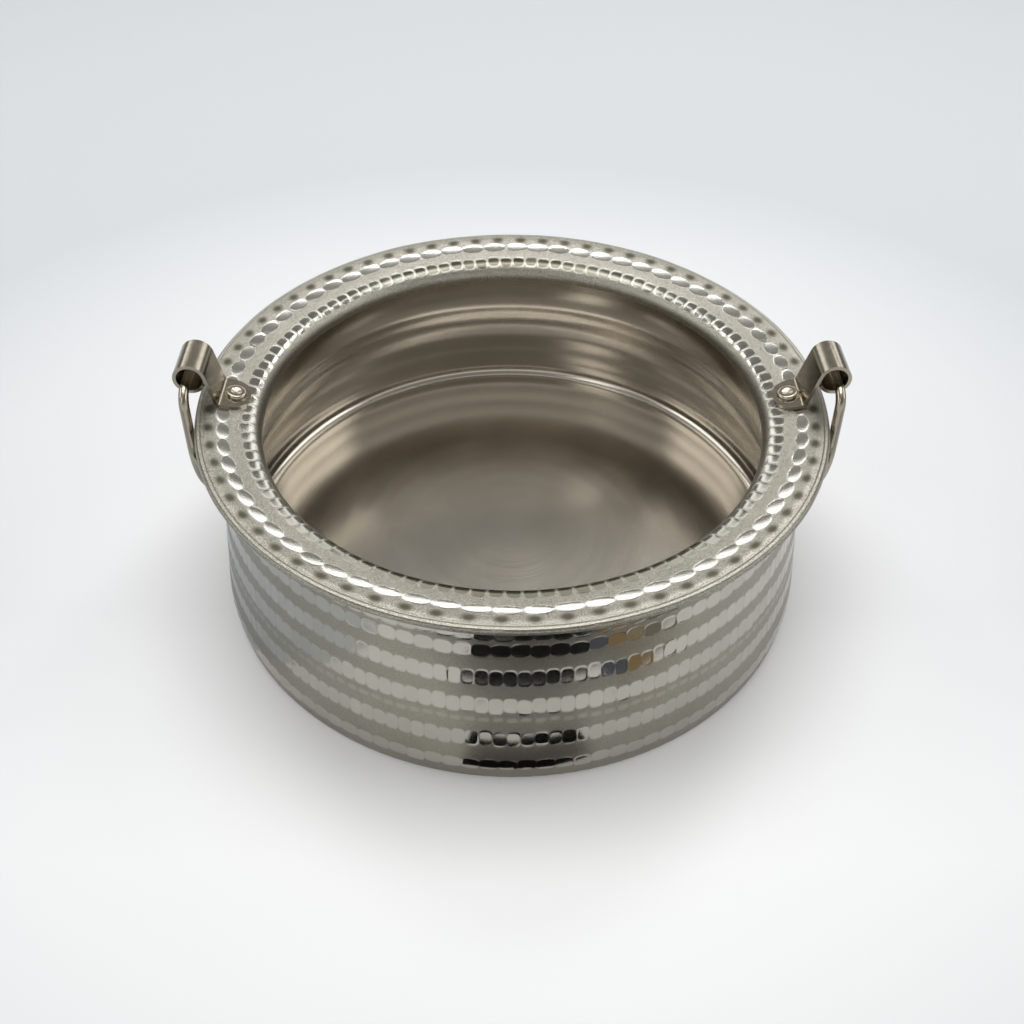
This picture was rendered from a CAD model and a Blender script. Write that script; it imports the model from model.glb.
"""A hammered steel serving bowl with two swinging handles: the looks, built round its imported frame.

Lengths are metres, but the sheets' outlines and marks are worked out in millimetres, as names that
end in _mm or _MM are. Every piece stands where its node of the frame stands: the hammered sheets and
the spun bowl replace their nodes, and the wire, straps, rivets, base and foam keep theirs.
"""

import math
from typing import NamedTuple

import bmesh
import bpy
import numpy as np
from mathutils import Matrix, Vector


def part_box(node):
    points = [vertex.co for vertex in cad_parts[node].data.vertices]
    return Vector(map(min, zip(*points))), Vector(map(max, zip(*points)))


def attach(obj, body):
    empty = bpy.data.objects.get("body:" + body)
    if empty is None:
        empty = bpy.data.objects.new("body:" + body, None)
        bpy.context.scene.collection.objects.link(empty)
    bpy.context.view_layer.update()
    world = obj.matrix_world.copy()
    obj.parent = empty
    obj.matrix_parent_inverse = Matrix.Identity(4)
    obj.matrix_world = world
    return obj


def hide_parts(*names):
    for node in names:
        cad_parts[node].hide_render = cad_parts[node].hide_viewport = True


bl_info = {
    "name": "Hammered Serving Bowl",
    "version": (1, 0, 0),
    "blender": (4, 5, 0),
    "location": "View3D > Sidebar > Serving Bowl",
    "description": "Hammered sheets, metal finishes and a studio for a bowl with two handles",
    "category": "Object",
}

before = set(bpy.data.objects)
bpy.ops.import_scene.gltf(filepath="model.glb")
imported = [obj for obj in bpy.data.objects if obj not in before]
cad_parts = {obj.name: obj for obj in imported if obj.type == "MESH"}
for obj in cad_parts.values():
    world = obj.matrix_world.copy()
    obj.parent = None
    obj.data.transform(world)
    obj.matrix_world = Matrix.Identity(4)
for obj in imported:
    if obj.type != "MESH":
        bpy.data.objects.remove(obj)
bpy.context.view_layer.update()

MM = 0.001
FULL_TURN = 2 * math.pi

# The sheets' outlines, in millimetres: the sizes of the frame's solids.
RIM_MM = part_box("rim_collar")[1].x / MM
CREST_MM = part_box("rim_collar")[1].z / MM
LIP_FOOT_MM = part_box("rim_collar")[0].z / MM
SHEET_MM = 1.0
BOWL_SHEET_MM = 0.8
CROWN_MM = RIM_MM - 5.0
DISH = math.radians(13.0)
MOUTH_MM = 102.0
LIP_BEND_MM = 6.5
HEM_MM = RIM_MM - 4.6
SHELL_TOP_MM = 117.5
SHELL_FOOT_MM = 126.3
SHELL_BEND_MM = CREST_MM - 7.5
SHELL_ROUND_MM = 6.0
HEEL_MM = 125.4
HEEL_LEVEL_MM = 2.4
FOOT_LEVEL_MM = 7.0
NECK_MM = MOUTH_MM + SHEET_MM
NECK_LEVEL_MM = CREST_MM - 22.0
BOWL_EDGE_MM = 109.5
BELLY_MM = 116.5
BELLY_LEVEL_MM = CREST_MM - 49.0
FLARE_ROUND_MM = 32.0
FLOOR_MM = 121.3
FLOOR_LEVEL_MM = 7.6

# These bends are a little rounder than the solids', as the photograph shows them.
CROWN_ROUND_MM = 4.0
HEM_ROUND_MM = 1.4
COVE_MM = 5.5

# How finely the plain faces are made: the sheets' bends and hidden backs, and the spun bowl.
ARC_POINTS = 13
HIDDEN_STEP_MM = 4.0
BOWL_STEP_MM = 0.9
BOWL_COLUMNS = 256

# Angles from which an edge looks sharp and a corner counts as one, and how close points are welded.
SHARP_EDGE = math.radians(38)
LEAST_TURN = 1e-4
WELD = 1e-7

# The rim's edge: two turned lines (distance in from the rim, half width), the depths over which the
# dull underside begins, and the width of the band that holds them.
RIM_LINES_MM = ((2.3, 0.35), (0.7, 0.30))
DULL_DEPTHS_MM = (1.7, 2.3)
EDGE_BAND_MM = 4.0

# How high the finishes' grain stands, in metres.
GRAIN_DISTANCE = 0.0002

# The sheets' slow unevenness: numbers of waves round them, each SWELL_MM over its number high. The
# waves also drift round the sheet with height, by an angle that swings by this much a millimetre.
SWELLS = (3, 7, 12, 19, 31, 46)
SWELL_MM = 0.36
SWELL_DRIFT = 0.9
SWELL_DRIFT_PER_MM = 0.09

# Where a mark ends, as a share of its outline, how far it may stray, the least and the greatest
# share of its height that it may have, and the seeds of these small differences.
MARK_END = 1.06
STRAY_MM = 0.5
MARK_SIZES = (0.93, 1.03)
WALL_SEED = 11
COLLAR_SEED = 41
SWELL_SEED = 100

# The camera faces the rim's middle, at this height, from this climb and bearing, and is then
# trimmed. Its angles are radians.
RIM_MIDDLE = 0.085
CAMERA_CLIMB = 0.65746
CAMERA_BEARING = math.radians(-1)
CAMERA_PAN, CAMERA_DIP, CAMERA_ROLL = -0.00051, -0.10342, 0.01141

# The lamps face this height on the bowl's axis from this distance. Each has a name, a bearing and a
# climb in degrees, a width and a height in metres, and a brightness.
LAMP_AIM = 0.08
LAMP_DISTANCE = 1.3
LAMPS = (
    ("back softbox", 0, 23.5, 2.0, 0.34, 1.8),
    ("right back softbox", 34, 44, 0.26, 0.40, 5.6),
    ("left back softbox", -38, 44, 0.26, 0.40, 3.6),
    ("overhead softbox", 0, 66, 0.75, 0.45, 2.4),
    ("top softbox", 0, 82, 1.0, 0.6, 2.8),
    ("right softbox", 82, 31, 0.90, 0.46, 2.3),
    ("left softbox", -82, 31, 0.90, 0.46, 2.0),
    ("window softbox", -138, 43, 0.30, 0.55, 1.8),
)

# Cards on the table that only reflections see: name, two opposite corners, and colour.
BLACK = (0.010, 0.010, 0.010)
CARDS = (
    ("far front card", (-0.110, -0.520), (0.130, -0.226), BLACK),
    ("sky card", (-0.215, -0.160), (-0.112, 0.020), (0.60, 0.63, 0.67)),
    ("front card", (-0.042, -0.225), (0.068, -0.180), BLACK),
    ("slate card", (0.068, -0.215), (0.086, -0.158), (0.10, 0.11, 0.14)),
    ("amber card", (0.086, -0.220), (0.112, -0.152), (0.30, 0.22, 0.12)),
    ("dusk card", (0.1125, -0.216), (0.175, -0.152), (0.22, 0.205, 0.175)),
    ("near card", (-0.022, -0.152), (0.036, -0.133), BLACK),
)
CARD_HEIGHT = 0.0005

# The table: its size, the distances over which its front, its edge and its back take over, and the
# back's share of the edge's brightness.
TABLE_SIZE = 8
TABLE_FRONT = (-0.04, -0.16)
TABLE_EDGE = (0.16, 0.38)
TABLE_BACK = (0.25, 0.9)
TABLE_BACK_SHARE = 0.94

# The world: light by height (0 is level, 1 is overhead) behind the bowl and in front of it, and the
# stretch over which the front's takes over.
FAR_LIGHT = (
    (0.0, (0.26, 0.25, 0.23, 1)),
    (0.70, (0.26, 0.25, 0.23, 1)),
    (1.0, (0.85, 0.86, 0.88, 1)),
)
NEAR_LIGHT = (
    (0.0, (0.95, 0.95, 0.95, 1)),
    (0.42, (0.85, 0.85, 0.85, 1)),
    (0.60, (0.28, 0.27, 0.25, 1)),
    (0.86, (0.28, 0.27, 0.25, 1)),
    (1.0, (0.85, 0.86, 0.88, 1)),
)
NEAR_SIDE = (0.15, -0.25)


class Row(NamedTuple):
    """One row of hammer marks round a sheet. Lengths are millimetres, and angles degrees."""

    place: float
    height: float
    count: int
    # A mark's share of its pitch, and how much wider than the mark its polish is.
    width: float = 1.0
    spread: float = 1.12
    # How deep a mark lies, and how far its edge rises above its middle.
    depth: float = 0.08
    cup: float = 0.0
    # 2 makes a mark an ellipse, and more makes it squarer. From the edge on, it blends in.
    squareness: float = 3.2
    edge: float = 0.80
    # How much the marks tilt and stray from their places.
    lean: float = 0.9
    wander: float = 0.20
    # How bright and how dark the marks are, and how much the dark grows to front and back.
    polish: float = 1.0
    shade: float = 0.0
    shade_swing: float = 0.0


# On the wall a row's place is its level above the table.
WALL_ROWS = (
    Row(74.9, 6.6, 110, spread=1.14, depth=0.09, squareness=3.0, edge=0.84, lean=0.8, wander=0.25),
    Row(67.2, 6.6, 110, depth=0.09, squareness=2.7, edge=0.84, lean=0.7, wander=0.25),
    Row(54.2, 8.6, 152, width=1.01, spread=1.14),
    Row(40.2, 8.8, 148, width=1.01, wander=0.25, polish=0.9),
    Row(33.0, 3.0, 150, width=0.94, spread=1.0, depth=0.03, squareness=3.0, edge=0.60, lean=0.8,
        wander=0.30, polish=0.3),
    Row(23.3, 8.2, 152, width=1.01),
    Row(9.3, 6.0, 112, spread=1.10, squareness=3.0, edge=0.84, lean=1.0, wander=0.25),
)

# On the collar a row's place is its radius.
COLLAR_ROWS = (
    Row(121.3, 5.8, 70, width=0.72, spread=1.0, depth=0.10, squareness=2.0, edge=0.25, lean=0.8,
        wander=0.15, polish=0.2, shade=1.0),
    Row(116.3, 5.6, 70, width=1.02, spread=1.06, depth=0.24, cup=0.13, squareness=2.0, edge=0.84,
        lean=0.8, wander=0.15, polish=0.88),
    Row(106.8, 6.6, 113, spread=1.0, depth=0.07, squareness=3.6, edge=0.70, lean=0.8, polish=0.9,
        shade=0.68, shade_swing=0.45),
)


def dished_mm(radius, depth=0.0):
    """The collar's slope at a radius, a depth of sheet below its top face."""
    return CREST_MM - (CROWN_MM - radius) * math.tan(DISH) - depth / math.cos(DISH)


def rounded(corners):
    """Corners (radius, height, bend) as points, with each bend an arc between its runs."""
    points = [np.array(corners[0][:2])]
    for before, (radius, height, bend), after in zip(corners, corners[1:-1], corners[2:]):
        corner = np.array([radius, height])
        back = np.array(before[:2]) - corner
        on = np.array(after[:2]) - corner
        back /= np.linalg.norm(back)
        on /= np.linalg.norm(on)
        half = math.acos(float(np.clip(back @ on, -1, 1))) / 2
        if not bend or math.pi / 2 - half < LEAST_TURN:
            points.append(corner)
            continue
        middle = (back + on) / np.linalg.norm(back + on)
        centre = corner + middle * bend / math.sin(half)
        start = corner + back * bend / math.tan(half) - centre
        end = corner + on * bend / math.tan(half) - centre
        turn = math.atan2(start[0] * end[1] - start[1] * end[0], start @ end)
        for share in np.linspace(0, 1, ARC_POINTS):
            c, s = math.cos(turn * share), math.sin(turn * share)
            points.append(centre + [c * start[0] - s * start[1], s * start[0] + c * start[1]])
    points.append(np.array(corners[-1][:2]))
    return np.array(points)


def outline(corners, step):
    """Evenly spaced points along rounded corners, and their distances from the first."""
    points = rounded(corners)
    along = np.concatenate([[0], np.cumsum(np.linalg.norm(np.diff(points, axis=0), axis=1))])
    count = max(2, int(math.ceil(along[-1] / step)) + 1)
    station = np.linspace(0, along[-1], count)
    return np.stack([np.interp(station, along, points[:, i]) for i in (0, 1)], axis=1), station


def smooth_step(low, high, value):
    """0 up to low, 1 from high on, and soft at both ends."""
    share = np.clip((value - low) / (high - low), 0, 1)
    return share * share * (3 - 2 * share)


def wobble(station, angle, seed):
    """The slight unevenness of a sheet that was beaten by hand, in millimetres."""
    random = np.random.default_rng(seed + SWELL_SEED)
    swell = np.zeros((len(station), len(angle)))
    for waves in SWELLS:
        phase, drift = random.uniform(0, FULL_TURN, 2)
        shift = SWELL_DRIFT * np.sin(station[:, None] * SWELL_DRIFT_PER_MM + drift)
        swell += SWELL_MM / waves * np.sin(waves * angle + phase + shift)
    return swell


def mark_reach(across, up, squareness):
    """How far out a point lies in a mark, from 0 at its middle to 1 on its outline."""
    return (np.abs(across) ** squareness + np.abs(up) ** squareness) ** (1 / squareness)


def hammered(points, station, places, rows, columns, seed):
    """How far rows of marks push each point of a sheet out, with masks for its finish."""
    angle = np.arange(columns) * FULL_TURN / columns
    push = np.zeros((len(station), columns))
    facet = np.zeros_like(push)
    tone = np.zeros_like(push)
    shade = np.zeros_like(push)
    order = np.argsort(places)
    for number, row in enumerate(rows):
        random = np.random.default_rng(seed + number)
        middle = np.interp(row.place, places[order], station[order])
        radius = np.interp(middle, station, points[:, 0])
        pitch = FULL_TURN * radius / row.count
        cell = angle * row.count / FULL_TURN + random.uniform()
        mark = np.floor(cell).astype(int) % row.count
        wander = random.normal(0, row.wander, (2, row.count)).clip(-STRAY_MM, STRAY_MM)
        lean = np.tan(np.radians(random.normal(0, row.lean, (2, row.count))))
        size = random.uniform(*MARK_SIZES, row.count)
        tones = random.uniform(-1, 1, row.count)
        across = (cell - np.floor(cell) - 0.5) * pitch - wander[0][mark] * (1 - row.width)
        up = station[:, None] - middle - wander[1][mark]
        half_width = pitch * row.width / 2
        half_height = row.height / 2 * size[mark]
        reach = mark_reach(across / half_width, up / half_height, row.squareness)
        polish_reach = mark_reach(
            across / half_width / row.spread, up / half_height, row.squareness)
        mask = 1 - smooth_step(row.edge, MARK_END, reach)
        polished = 1 - smooth_step(row.edge, MARK_END, polish_reach)
        plane = -row.depth + across ** 2 / (2 * radius) + row.cup * np.minimum(reach, 1) ** 2
        plane += lean[0][mark] * across + lean[1][mark] * up
        push = push * (1 - mask) + mask * plane
        facet = np.maximum(facet, polished * row.polish)
        tone = tone * (1 - mask) + mask * tones[mark]
        dark = row.shade * (1 + row.shade_swing * np.cos(2 * angle))
        shade = np.maximum(shade, polished * dark)
    return push + wobble(station, angle, seed), {"facet": facet, "tone": tone, "shade": shade}


def outward(points):
    """A unit vector square to an outline at each of its points, to the right of its run."""
    run = np.gradient(points, axis=0)
    run /= np.linalg.norm(run, axis=1, keepdims=True)
    return np.stack([run[:, 1], -run[:, 0]], axis=1)


def ring_mesh(name, rings_mm, heights_mm, marks, closed=True):
    """A turned sheet as a mesh: rings by columns of radii and heights, with marks on its points."""
    rings, columns = rings_mm.shape
    angle = np.arange(columns) * FULL_TURN / columns
    points = np.stack([rings_mm * np.sin(angle), -rings_mm * np.cos(angle), heights_mm], axis=-1)
    ring, column = np.meshgrid(
        np.arange(rings if closed else rings - 1), np.arange(columns), indexing="ij"
    )
    next_ring = (ring + 1) % rings * columns
    next_column = (column + 1) % columns
    quads = np.stack([
        ring * columns + column,
        ring * columns + next_column,
        next_ring + next_column,
        next_ring + column,
    ], axis=-1).reshape(-1, 4)
    mesh = bpy.data.meshes.new(name)
    mesh.vertices.add(rings * columns)
    mesh.vertices.foreach_set("co", (points.reshape(-1) * MM).astype(np.float32))
    mesh.loops.add(quads.size)
    mesh.loops.foreach_set("vertex_index", quads.reshape(-1).astype(np.int32))
    mesh.polygons.add(len(quads))
    mesh.polygons.foreach_set("loop_start", np.arange(0, quads.size, 4, dtype=np.int32))
    mesh.polygons.foreach_set("use_smooth", np.ones(len(quads), bool))
    mesh.update(calc_edges=True)
    for mark, values in marks.items():
        attribute = mesh.attributes.new(mark, "FLOAT", "POINT")
        attribute.data.foreach_set("value", values.reshape(-1).astype(np.float32))
    if not closed:
        work = bmesh.new()
        work.from_mesh(mesh)
        bmesh.ops.remove_doubles(work, verts=work.verts, dist=WELD)
        work.to_mesh(mesh)
        work.free()
    mesh.set_sharp_from_angle(angle=SHARP_EDGE)
    piece = bpy.data.objects.new(name, mesh)
    bpy.context.scene.collection.objects.link(piece)
    return piece


def sheet(name, shown, hidden, step, columns, hammer=None, ripple=None, closed=True):
    """A turned sheet whose shown face is fine and worked, and whose hidden face is plain."""
    front, station = outline(shown, step)
    back, _ = outline(hidden, HIDDEN_STEP_MM)
    push = np.zeros((len(front), columns))
    marks = {}
    if hammer:
        push, marks = hammer(front, station, columns)
    if ripple is not None:
        push = push + ripple(front)[:, None]
    normal = outward(front)
    radius = front[:, :1] + normal[:, :1] * push
    height = front[:, 1:] + normal[:, 1:] * push
    radius = np.concatenate([radius, np.repeat(back[:, :1], columns, axis=1)])
    height = np.concatenate([height, np.repeat(back[:, 1:], columns, axis=1)])
    marks = {
        mark: np.concatenate([values, np.zeros((len(back), columns))])
        for mark, values in marks.items()
    }
    return ring_mesh(name, radius, height, marks, closed)


class Wire:
    """A number flowing between nodes: arithmetic on it adds the Math nodes."""

    def __init__(self, plan, socket):
        self.plan = plan
        self.socket = socket

    def __add__(self, other):
        return self.plan.maths("ADD", self, other)

    def __radd__(self, other):
        return self.plan.maths("ADD", other, self)

    def __sub__(self, other):
        return self.plan.maths("SUBTRACT", self, other)

    def __rsub__(self, other):
        return self.plan.maths("SUBTRACT", other, self)

    def __mul__(self, other):
        return self.plan.maths("MULTIPLY", self, other)

    def __rmul__(self, other):
        return self.plan.maths("MULTIPLY", other, self)

    def __truediv__(self, other):
        return self.plan.maths("DIVIDE", self, other)

    def __rtruediv__(self, other):
        return self.plan.maths("DIVIDE", other, self)

    def __pow__(self, other):
        return self.plan.maths("POWER", self, other)

    def __rpow__(self, other):
        return self.plan.maths("POWER", other, self)


class Plan:
    """A node tree that is written from its inputs to its output."""

    def __init__(self, tree):
        self.tree = tree
        tree.nodes.clear()

    def node(self, kind, settings=None, inputs=None):
        """Add a node: its settings first, then the values or wires of its sockets."""
        made = self.tree.nodes.new(kind)
        for name, value in (settings or {}).items():
            if name == "stops":
                self.ramp_stops(made.color_ramp, value)
            else:
                setattr(made, name, value)
        for name, value in (inputs or {}).items():
            if isinstance(value, Wire):
                self.tree.links.new(value.socket, made.inputs[name])
            else:
                made.inputs[name].default_value = value
        made.location = (220 * len(self.tree.nodes), 0)
        return made

    def wire(self, kind, output, settings=None, inputs=None):
        return Wire(self, self.node(kind, settings, inputs).outputs[output])

    def maths(self, operation, first, second=0.0):
        return self.wire("ShaderNodeMath", 0, {"operation": operation}, {0: first, 1: second})

    def between(self, value, start, end):
        """0 at start, 1 at end, even between them and level beyond them."""
        return self.wire("ShaderNodeMapRange", 0, {}, {
            "Value": value, "From Min": start, "From Max": end})

    def split(self, place):
        """A place's x, y and z."""
        parts = self.node("ShaderNodeSeparateXYZ", {}, {0: place})
        return [Wire(self, parts.outputs[axis]) for axis in range(3)]

    def from_axis(self, place):
        """A place's distance from the bowl's axis, and its height."""
        x, y, z = self.split(place)
        return (x * x + y * y) ** 0.5, z

    def blend(self, share, first, second):
        """A colour between two colours."""
        return self.wire("ShaderNodeMix", 2, {"data_type": "RGBA"}, {0: share, 6: first, 7: second})

    def ramp(self, share, stops):
        return self.wire("ShaderNodeValToRGB", 0, {"stops": stops}, {0: share})

    def place(self):
        return self.wire("ShaderNodeTexCoord", 3)

    def attribute(self, name):
        return self.wire("ShaderNodeAttribute", 2, {"attribute_name": name})

    def noise(self, place, scale, detail=2.0):
        return self.wire(
            "ShaderNodeTexNoise", 0, {}, {"Vector": place, "Scale": scale, "Detail": detail}
        )

    def bump(self, height, strength, distance):
        return self.wire("ShaderNodeBump", 0, {}, {
            "Height": height, "Strength": strength, "Distance": distance})

    @staticmethod
    def ramp_stops(ramp, stops):
        while len(ramp.elements) < len(stops):
            ramp.elements.new(1.0)
        for element, (position, colour) in zip(ramp.elements, stops):
            element.position = position
            element.color = colour

    def surface(self, shader):
        self.node("ShaderNodeOutputMaterial", {}, {"Surface": shader})


def colour(rgb, share=1.0):
    """A colour at a share of its brightness, with the 1 that sockets ask for."""
    return (*(part * share for part in rgb), 1.0)


def metal(name, write):
    """A metal material: write(plan) gives the varying inputs of its Principled BSDF."""
    material = bpy.data.materials.new(name)
    material.use_nodes = True
    plan = Plan(material.node_tree)
    inputs = {"Metallic": 1.0}
    inputs.update(write(plan))
    plan.surface(plan.wire("ShaderNodeBsdfPrincipled", 0, {}, inputs))
    return material


def turned_line(plan, radius, place_mm, half_mm):
    """1 along a fine line turned into a sheet at a radius, and 0 half its width away from it."""
    off = plan.maths("ABSOLUTE", radius / MM - place_mm)
    return plan.maths("MAXIMUM", 1 - off / half_mm, 0.0)


def rim_edge(plan, place):
    """1 in the two fine lines turned along the rim and under its edge, where the steel is dull."""
    radius, z = plan.from_axis(place)
    first, second = (
        turned_line(plan, radius, RIM_MM - inset, half) for inset, half in RIM_LINES_MM)
    under = plan.between(z, *((CREST_MM - depth) * MM for depth in DULL_DEPTHS_MM))
    outside = plan.maths("GREATER_THAN", radius, (RIM_MM - EDGE_BAND_MM) * MM)
    return ((first + second) * 0.7 + under * 0.9) * outside


def hammered_steel(plan, ground, polish, shaded, sizes, grain, sparkle, edge=None):
    """Satin steel between mirror-bright hammer marks; the marks differ a little in tone.

    Grain is how rough the satin feels, and sparkle how much its colour changes between points.
    """
    place = plan.place()
    facet = plan.attribute("facet")
    tone = plan.attribute("tone")
    shade = plan.attribute("shade")
    cloud = plan.noise(place, scale=35.0)
    speckle = plan.noise(place, scale=2600.0, detail=1.0)
    grit = cloud * 0.3 + speckle * sparkle - (0.5 * sparkle - 0.35)
    satin = plan.blend(grit, colour(ground, 0.55), colour(ground, 1.5))
    bright = plan.blend(tone * 0.5 + 0.5, colour(polish, 0.93), colour(polish))
    base = plan.blend(facet, satin, bright)
    satin_rough = sizes.ground_rough + (speckle - 0.5) * 0.16
    rough = satin_rough - facet * (sizes.ground_rough - sizes.polish_rough)
    grain_height = speckle * (1 - facet * 0.85)
    if edge:
        dull = edge(plan, place)
        shade = plan.maths("MINIMUM", shade + dull, 1.0)
        grain_height = grain_height - dull * 2
    return {
        "Base Color": plan.blend(shade, base, colour(shaded)),
        "Roughness": rough,
        "Normal": plan.bump(grain_height, grain, GRAIN_DISTANCE),
    }


def spun_steel(plan, tint, rough):
    """Turned sheet: fine rings, a little cloudiness, and soft wear."""
    place = plan.place()
    radius, z = plan.from_axis(place)
    along = plan.wire("ShaderNodeCombineXYZ", 0, {}, {0: radius, 1: z})
    fine = plan.noise(along, scale=2400.0)
    broad = plan.noise(along, scale=220.0, detail=1.0)
    cloud = plan.noise(place, scale=22.0, detail=3.0)
    return {
        "Base Color": plan.blend(cloud, colour(tint, 0.90), colour(tint, 1.08)),
        "Roughness": rough + (cloud - 0.5) * 0.12 + (fine - 0.5) * 0.08,
        "Normal": plan.bump(fine * 0.6 + broad * 0.5, strength=0.18, distance=GRAIN_DISTANCE),
    }


def polished_wire(plan, tint, rough):
    """Drawn and polished steel with faint scuffs."""
    place = plan.place()
    scuff = plan.noise(place, scale=600.0, detail=3.0)
    cloud = plan.noise(place, scale=70.0)
    return {
        "Base Color": plan.blend(cloud, colour(tint, 0.88), colour(tint, 1.08)),
        "Roughness": rough + (scuff - 0.5) * 0.14,
        "Normal": plan.bump(scuff, strength=0.12, distance=GRAIN_DISTANCE),
    }


def foam(plan, tint):
    """Rigid insulation: pale, matt and pitted."""
    place = plan.place()
    cells = plan.wire("ShaderNodeTexVoronoi", 0, {}, {"Vector": place, "Scale": 900.0})
    cloud = plan.noise(place, scale=40.0)
    return {
        "Metallic": 0.0,
        "Base Color": plan.blend(cloud, colour(tint, 0.92), colour(tint)),
        "Roughness": 0.85 + cells * 0.1,
        "Normal": plan.bump(cells, strength=0.4, distance=2 * GRAIN_DISTANCE),
    }


def dress(node, material):
    """Give a node of the frame its finish."""
    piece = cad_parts[node]
    piece.data.materials.clear()
    piece.data.materials.append(material)


def fit(piece, material, body, slot, *nodes):
    """Give a made piece its finish and its body, in place of the frame's nodes."""
    piece.data.materials.append(material)
    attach(piece, body)
    if nodes:
        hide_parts(*nodes)


class BowlColours(bpy.types.PropertyGroup):
    """The metals' and the studio's colours."""

    ground: bpy.props.FloatVectorProperty(
        name="Satin ground", description="Steel between the hammer marks", subtype="COLOR",
        default=(0.290, 0.273, 0.228), min=0, max=1)
    polish: bpy.props.FloatVectorProperty(
        name="Wall marks", description="Bright steel inside the wall's hammer marks", subtype="COLOR",
        default=(0.46, 0.44, 0.39), min=0, max=1)
    collar_polish: bpy.props.FloatVectorProperty(
        name="Collar marks", description="Mirror steel inside the collar's hammer marks",
        subtype="COLOR", default=(0.76, 0.74, 0.69), min=0, max=1)
    shaded: bpy.props.FloatVectorProperty(
        name="Soft marks", description="Darker steel in the collar's small outer marks",
        subtype="COLOR", default=(0.105, 0.098, 0.070), min=0, max=1)
    collar: bpy.props.FloatVectorProperty(
        name="Collar ground", description="Sandy satin steel of the collar", subtype="COLOR",
        default=(0.34, 0.325, 0.28), min=0, max=1)
    bowl: bpy.props.FloatVectorProperty(
        name="Inside", description="Spun steel of the inner bowl", subtype="COLOR",
        default=(0.52, 0.485, 0.425), min=0, max=1)
    fittings: bpy.props.FloatVectorProperty(
        name="Handles", description="Polished steel of ears, bails and rivets", subtype="COLOR",
        default=(0.37, 0.335, 0.27), min=0, max=1)
    insulation: bpy.props.FloatVectorProperty(
        name="Insulation", description="Foam between the walls", subtype="COLOR",
        default=(0.78, 0.74, 0.60), min=0, max=1)
    table: bpy.props.FloatVectorProperty(
        name="Table", description="The studio's table round the bowl", subtype="COLOR",
        default=(0.80, 0.805, 0.82), min=0, max=1)
    table_front: bpy.props.FloatVectorProperty(
        name="Table front", description="The studio's table in front of the bowl", subtype="COLOR",
        default=(0.975, 0.98, 0.985), min=0, max=1)
    table_edge: bpy.props.FloatVectorProperty(
        name="Table edge", description="The studio's table away from the bowl", subtype="COLOR",
        default=(0.56, 0.585, 0.605), min=0, max=1)


class BowlSizes(bpy.types.PropertyGroup):
    """How finely the sheets are made, and how rough their finishes are."""

    columns: bpy.props.IntProperty(
        name="Columns", description="Columns of points round a hammered sheet",
        default=2200, min=256, max=4000)
    step: bpy.props.FloatProperty(
        name="Ring step", description="Distance between the rings of a hammered sheet",
        default=0.0006, min=0.0003, max=0.003, unit="LENGTH", precision=5)
    ground_rough: bpy.props.FloatProperty(
        name="Satin roughness", description="Roughness between the hammer marks",
        default=0.38, min=0, max=1, subtype="FACTOR")
    polish_rough: bpy.props.FloatProperty(
        name="Polish roughness", description="Roughness inside the hammer marks",
        default=0.10, min=0, max=1, subtype="FACTOR")
    bowl_rough: bpy.props.FloatProperty(
        name="Inside roughness", description="Roughness of the inner bowl",
        default=0.20, min=0, max=1, subtype="FACTOR")
    lens: bpy.props.FloatProperty(
        name="Lens", description="The camera's focal length in millimetres",
        default=39.15, min=10, max=200)
    distance: bpy.props.FloatProperty(
        name="Camera distance", description="From the camera to the middle of the rim",
        default=0.4572, min=0.1, max=3, unit="LENGTH")


class BOWL_OT_outer_shell(bpy.types.Operator):
    """The outer wall, with six rows of hammer marks and a faint row between them."""

    bl_idname = "bowl.outer_shell"
    bl_label = "Outer shell"

    def execute(self, context):
        colours, sizes = context.scene.bowl_colours, context.scene.bowl_sizes
        under_flange = dished_mm(SHELL_TOP_MM, 2 * SHEET_MM)
        shown = [
            (HEEL_MM, HEEL_LEVEL_MM),
            (SHELL_FOOT_MM, FOOT_LEVEL_MM, SHELL_ROUND_MM),
            (SHELL_TOP_MM, SHELL_BEND_MM, 0),
            (SHELL_TOP_MM, under_flange),
        ]
        hidden = [
            (CROWN_MM, CREST_MM - 2 * SHEET_MM),
            (RIM_MM - SHEET_MM, CREST_MM - 2 * SHEET_MM, 0),
            (RIM_MM - SHEET_MM, CREST_MM - SHEET_MM, 0),
            (CROWN_MM, CREST_MM - SHEET_MM, 0),
            (SHELL_TOP_MM - SHEET_MM, dished_mm(SHELL_TOP_MM - SHEET_MM, SHEET_MM), 0),
            (SHELL_TOP_MM - SHEET_MM, SHELL_BEND_MM, 0),
            (SHELL_FOOT_MM - SHEET_MM, FOOT_LEVEL_MM, SHELL_ROUND_MM - SHEET_MM),
            (HEEL_MM - SHEET_MM, HEEL_LEVEL_MM),
        ]

        def hammer(points, station, columns):
            return hammered(points, station, points[:, 1], WALL_ROWS, columns, WALL_SEED)

        shell = sheet("hammered_shell", shown, hidden, sizes.step / MM, sizes.columns, hammer)
        steel = metal("hammered steel", lambda plan: hammered_steel(
            plan, colours.ground, colours.polish, colours.shaded, sizes, grain=0.2, sparkle=1.0))
        fit(shell, steel, "bowl", "shell_metal", "outer_shell")
        return {"FINISHED"}


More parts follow.
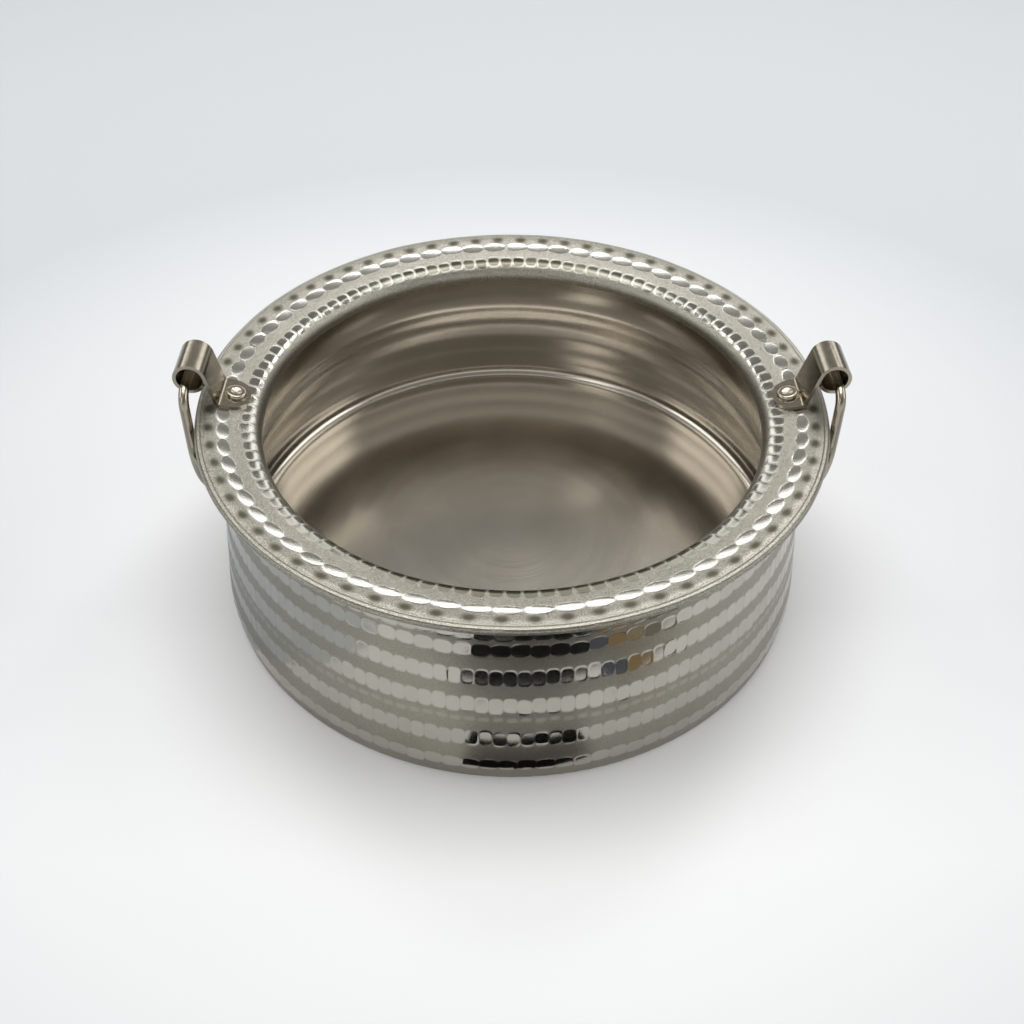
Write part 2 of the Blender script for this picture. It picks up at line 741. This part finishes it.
class BOWL_OT_rim_collar(bpy.types.Operator):
    """The sloped collar, with its hem, three rows of marks and the lip in the mouth."""

    bl_idname = "bowl.rim_collar"
    bl_label = "Rim collar"

    def execute(self, context):
        colours, sizes = context.scene.bowl_colours, context.scene.bowl_sizes
        hem_foot = CREST_MM - 3 * SHEET_MM
        shown = [
            (HEM_MM, hem_foot),
            (RIM_MM, hem_foot, HEM_ROUND_MM),
            (RIM_MM, CREST_MM, HEM_ROUND_MM),
            (CROWN_MM, CREST_MM, CROWN_ROUND_MM),
            (MOUTH_MM, dished_mm(MOUTH_MM), LIP_BEND_MM),
            (MOUTH_MM, LIP_FOOT_MM),
        ]
        hidden = [
            (NECK_MM, LIP_FOOT_MM),
            (NECK_MM, dished_mm(NECK_MM, SHEET_MM), LIP_BEND_MM - SHEET_MM),
            (CROWN_MM, CREST_MM - SHEET_MM, 0),
            (RIM_MM - SHEET_MM, CREST_MM - SHEET_MM, 0),
            (RIM_MM - SHEET_MM, CREST_MM - 2 * SHEET_MM, 0),
            (HEM_MM, CREST_MM - 2 * SHEET_MM),
        ]

        def hammer(points, station, columns):
            """Marks on the collar's top only, which starts a little past the rim's edge."""
            past_edge, past_rows, slack = 2.0, 10.0, 1e-6
            top = station > station[np.argmax(points[:, 0] >= RIM_MM - slack)] + past_edge
            places = np.where(top, points[:, 0], RIM_MM + past_rows)
            push, marks = hammered(points, station, places, COLLAR_ROWS, columns, COLLAR_SEED)
            return push * top[:, None], {mark: v * top[:, None] for mark, v in marks.items()}

        def hem_lines(points):
            """Fine turned lines along the rim's edge."""
            height, pitch, lead, reach = 0.05, 1.7, 1.0, 3.4
            run = np.concatenate([[0], np.cumsum(np.linalg.norm(np.diff(points, axis=0), axis=1))])
            edge = run[np.argmax(points[:, 0])]
            lines = height * np.sin(run * FULL_TURN / pitch)
            return lines * (np.abs(run - edge - lead) < reach)

        collar = sheet(
            "hammered_collar", shown, hidden, sizes.step / MM, sizes.columns, hammer, hem_lines)
        steel = metal("sandy hammered steel", lambda plan: hammered_steel(
            plan, colours.collar, colours.collar_polish, colours.shaded, sizes,
            grain=0.5, sparkle=3.0, edge=rim_edge))
        fit(collar, steel, "bowl", "collar_metal", "rim_collar")
        return {"FINISHED"}


class BOWL_OT_inner_bowl(bpy.types.Operator):
    """The spun inner bowl, wider at its floor than at its mouth."""

    bl_idname = "bowl.inner_bowl"
    bl_label = "Inner bowl"

    def execute(self, context):
        colours, sizes = context.scene.bowl_colours, context.scene.bowl_sizes
        outer = NECK_MM + BOWL_SHEET_MM
        under = dished_mm(outer, SHEET_MM + BOWL_SHEET_MM)
        shown = [
            (0.0, FLOOR_LEVEL_MM),
            (FLOOR_MM, FLOOR_LEVEL_MM, COVE_MM),
            (BELLY_MM, BELLY_LEVEL_MM, FLARE_ROUND_MM),
            (NECK_MM, NECK_LEVEL_MM, FLARE_ROUND_MM),
            (NECK_MM, dished_mm(NECK_MM, SHEET_MM), LIP_BEND_MM - SHEET_MM),
            (BOWL_EDGE_MM, dished_mm(BOWL_EDGE_MM, SHEET_MM)),
        ]
        hidden = [
            (BOWL_EDGE_MM, dished_mm(BOWL_EDGE_MM, SHEET_MM + BOWL_SHEET_MM)),
            (outer, under, LIP_BEND_MM - SHEET_MM - BOWL_SHEET_MM),
            (outer, NECK_LEVEL_MM, FLARE_ROUND_MM),
            (BELLY_MM + BOWL_SHEET_MM, BELLY_LEVEL_MM, FLARE_ROUND_MM),
            (FLOOR_MM + BOWL_SHEET_MM, FLOOR_LEVEL_MM - BOWL_SHEET_MM, COVE_MM + BOWL_SHEET_MM),
            (0.0, FLOOR_LEVEL_MM - BOWL_SHEET_MM),
        ]

        def ripple(points):
            """Soft rings left by spinning, on the wall and, fainter, on the floor.

            They fade out above the cove, at the neck's level and on the floor before the cove.
            """
            wall_rings, wall_pitch, wall_start = 0.09, 10.6, 54.5
            floor_rings, floor_pitch = 0.006, 9.0
            radius, height = points[:, 0], points[:, 1]
            wall = smooth_step(FLOOR_LEVEL_MM + 6, FLOOR_LEVEL_MM + 12, height)
            wall *= 1 - smooth_step(NECK_LEVEL_MM - 4, NECK_LEVEL_MM + 4, height)
            wall *= wall_rings * np.cos((height - wall_start) * FULL_TURN / wall_pitch)
            floor = 1 - smooth_step(FLOOR_LEVEL_MM + 0.2, FLOOR_LEVEL_MM + 1, height)
            floor *= 1 - smooth_step(FLOOR_MM - 12, FLOOR_MM - 5, radius)
            return wall + floor * floor_rings * np.cos(radius * FULL_TURN / floor_pitch)

        bowl = sheet(
            "spun_bowl", shown, hidden, BOWL_STEP_MM, BOWL_COLUMNS, ripple=ripple, closed=False)
        steel = metal("spun steel", lambda plan: spun_steel(plan, colours.bowl, sizes.bowl_rough))
        fit(bowl, steel, "bowl", "bowl_metal", "inner_bowl")
        return {"FINISHED"}


class BOWL_OT_base(bpy.types.Operator):
    """The base plate that the bowl stands on."""

    bl_idname = "bowl.base"
    bl_label = "Base plate"

    def execute(self, context):
        colours = context.scene.bowl_colours
        dress("base_plate", metal("spun base steel", lambda plan: spun_steel(
            plan, colours.collar, rough=0.30)))
        return {"FINISHED"}


class BOWL_OT_handles(bpy.types.Operator):
    """The ear straps, their rivets and the two swinging bails."""

    bl_idname = "bowl.handles"
    bl_label = "Ears, rivets and bails"

    def execute(self, context):
        colours = context.scene.bowl_colours
        tint = colours.fittings
        strap = metal("polished strap", lambda plan: polished_wire(plan, tint, rough=0.20))
        wire = metal("polished wire", lambda plan: polished_wire(plan, tint, rough=0.16))
        head = metal("rivet steel", lambda plan: polished_wire(plan, tint, rough=0.22))
        for side in ("left", "right"):
            dress(f"{side}_ear_strap", strap)
            dress(f"{side}_bail", wire)
            dress(f"{side}_rivet", head)
        return {"FINISHED"}


class BOWL_OT_insulation(bpy.types.Operator):
    """The foam between the walls and under the floor."""

    bl_idname = "bowl.insulation"
    bl_label = "Insulation"

    def execute(self, context):
        pale = metal("insulation foam", lambda plan: foam(
            plan, context.scene.bowl_colours.insulation))
        dress("wall_insulation", pale)
        dress("floor_insulation", pale)
        return {"FINISHED"}


def stage_sheet(name, width, depth, place):
    """A flat rectangle of the studio, facing up."""
    mesh = bpy.data.meshes.new(name)
    half_x, half_y = width / 2, depth / 2
    mesh.from_pydata(
        [(-half_x, -half_y, 0), (half_x, -half_y, 0), (half_x, half_y, 0), (-half_x, half_y, 0)],
        [], [(0, 1, 2, 3)])
    made = bpy.data.objects.new(name, mesh)
    made.location = place
    bpy.context.scene.collection.objects.link(made)
    return made


def paper(name, write_colour, specular):
    """A matt material: write_colour(plan) gives its colour."""
    material = bpy.data.materials.new(name)
    material.use_nodes = True
    plan = Plan(material.node_tree)
    plan.surface(plan.wire("ShaderNodeBsdfPrincipled", 0, {}, {
        "Base Color": write_colour(plan), "Roughness": 0.9, "Specular IOR Level": specular}))
    return material


def softbox(name, bearing, climb, width, height, brightness):
    """A rectangular lamp that faces the bowl. Bearing 0 is behind the bowl, and 90 on its right."""
    lamp = bpy.data.lights.new(name, "AREA")
    lamp.shape = "RECTANGLE"
    lamp.size, lamp.size_y = width, height
    lamp.energy = brightness * math.pi * width * height
    made = bpy.data.objects.new(name, lamp)
    east, rise = math.radians(bearing), math.radians(climb)
    level = math.cos(rise)
    away = Vector((math.sin(east) * level, math.cos(east) * level, math.sin(rise)))
    made.location = Vector((0, 0, LAMP_AIM)) + away * LAMP_DISTANCE
    made.rotation_euler = (-away).to_track_quat("-Z", "Y").to_euler()
    bpy.context.scene.collection.objects.link(made)


class BOWL_OT_stage(bpy.types.Operator):
    """A pale table, soft lamps, and a camera where the photograph was taken from."""

    bl_idname = "bowl.stage"
    bl_label = "Studio and camera"

    def execute(self, context):
        scene = context.scene
        colours, sizes = scene.bowl_colours, scene.bowl_sizes
        self.add_table(colours)
        self.add_cards()
        self.add_world(scene)
        for lamp in LAMPS:
            softbox(*lamp)
        self.add_camera(scene, sizes)
        scene.view_settings.view_transform = "Standard"
        return {"FINISHED"}

    @staticmethod
    def add_table(colours):
        """Pale paper, lighter in front of the bowl and darker towards its edges and its back."""
        def paper_colour(plan):
            place = plan.place()
            away = plan.split(place)[1]
            distance, _ = plan.from_axis(place)
            tint = plan.blend(
                plan.between(away, *TABLE_FRONT),
                colour(colours.table), colour(colours.table_front))
            tint = plan.blend(
                plan.between(distance, *TABLE_EDGE), tint, colour(colours.table_edge))
            back = colour(colours.table_edge, TABLE_BACK_SHARE)
            return plan.blend(plan.between(away, *TABLE_BACK), tint, back)

        table = stage_sheet("table", TABLE_SIZE, TABLE_SIZE, (0, 0, 0))
        table.data.materials.append(paper("table paper", paper_colour, specular=0.1))

    @staticmethod
    def add_cards():
        """Cards on the table that only the steel's reflections see."""
        for name, low, high, tint in CARDS:
            middle = ((low[0] + high[0]) / 2, (low[1] + high[1]) / 2, CARD_HEIGHT)
            card = stage_sheet(name, high[0] - low[0], high[1] - low[1], middle)
            card.data.materials.append(
                paper(name, lambda plan, tint=tint: colour(tint), specular=0.0))
            card.visible_camera = False
            card.visible_diffuse = False
            card.visible_shadow = False
            card.visible_transmission = False

    @staticmethod
    def add_world(scene):
        """Dim light behind the bowl, and bright light in front of it with a dim band high up."""
        world = bpy.data.worlds.new("studio")
        scene.world = world
        world.use_nodes = True
        plan = Plan(world.node_tree)
        _, behind, rise = plan.split(plan.place())
        light = plan.blend(
            plan.between(behind, *NEAR_SIDE),
            plan.ramp(rise, FAR_LIGHT), plan.ramp(rise, NEAR_LIGHT))
        plan.node("ShaderNodeOutputWorld", {}, {
            "Surface": plan.wire("ShaderNodeBackground", 0, {}, {0: light, 1: 1.0})})

    @staticmethod
    def add_camera(scene, sizes):
        """The camera faces the rim's middle, then leans down to take in the whole bowl."""
        lean = Matrix.Rotation(math.pi / 2 - CAMERA_CLIMB, 4, "X")
        trim = (Matrix.Rotation(CAMERA_PAN, 4, "Y") @ Matrix.Rotation(CAMERA_DIP, 4, "X")
                @ Matrix.Rotation(CAMERA_ROLL, 4, "Z"))
        seat = Matrix.Translation(Vector((
            0,
            -sizes.distance * math.cos(CAMERA_CLIMB),
            RIM_MIDDLE + sizes.distance * math.sin(CAMERA_CLIMB),
        )))
        data = bpy.data.cameras.new("camera")
        data.lens = sizes.lens
        data.sensor_width = 36.0
        camera = bpy.data.objects.new("camera", data)
        camera.matrix_world = Matrix.Rotation(CAMERA_BEARING, 4, "Z") @ seat @ lean @ trim
        scene.collection.objects.link(camera)
        scene.camera = camera


OPERATORS = (
    BOWL_OT_outer_shell,
    BOWL_OT_rim_collar,
    BOWL_OT_inner_bowl,
    BOWL_OT_base,
    BOWL_OT_handles,
    BOWL_OT_insulation,
    BOWL_OT_stage,
)


class BOWL_PT_steps(bpy.types.Panel):
    """The bowl's pieces, one button each."""

    bl_idname = "BOWL_PT_steps"
    bl_label = "Serving Bowl"
    bl_space_type = "VIEW_3D"
    bl_region_type = "UI"
    bl_category = "Serving Bowl"

    def draw(self, context):
        for operator in OPERATORS:
            self.layout.operator(operator.bl_idname)


CLASSES = (BowlColours, BowlSizes, *OPERATORS, BOWL_PT_steps)


def register():
    for cls in CLASSES:
        bpy.utils.register_class(cls)
    bpy.types.Scene.bowl_colours = bpy.props.PointerProperty(type=BowlColours)
    bpy.types.Scene.bowl_sizes = bpy.props.PointerProperty(type=BowlSizes)


def unregister():
    del bpy.types.Scene.bowl_sizes
    del bpy.types.Scene.bowl_colours
    for cls in reversed(CLASSES):
        bpy.utils.unregister_class(cls)


def main():
    register()
    bpy.ops.bowl.outer_shell()
    bpy.ops.bowl.rim_collar()
    bpy.ops.bowl.inner_bowl()
    bpy.ops.bowl.base()
    bpy.ops.bowl.handles()
    bpy.ops.bowl.insulation()
    bpy.ops.bowl.stage()
    bpy.context.view_layer.update()


if __name__ == "__main__":
    main()
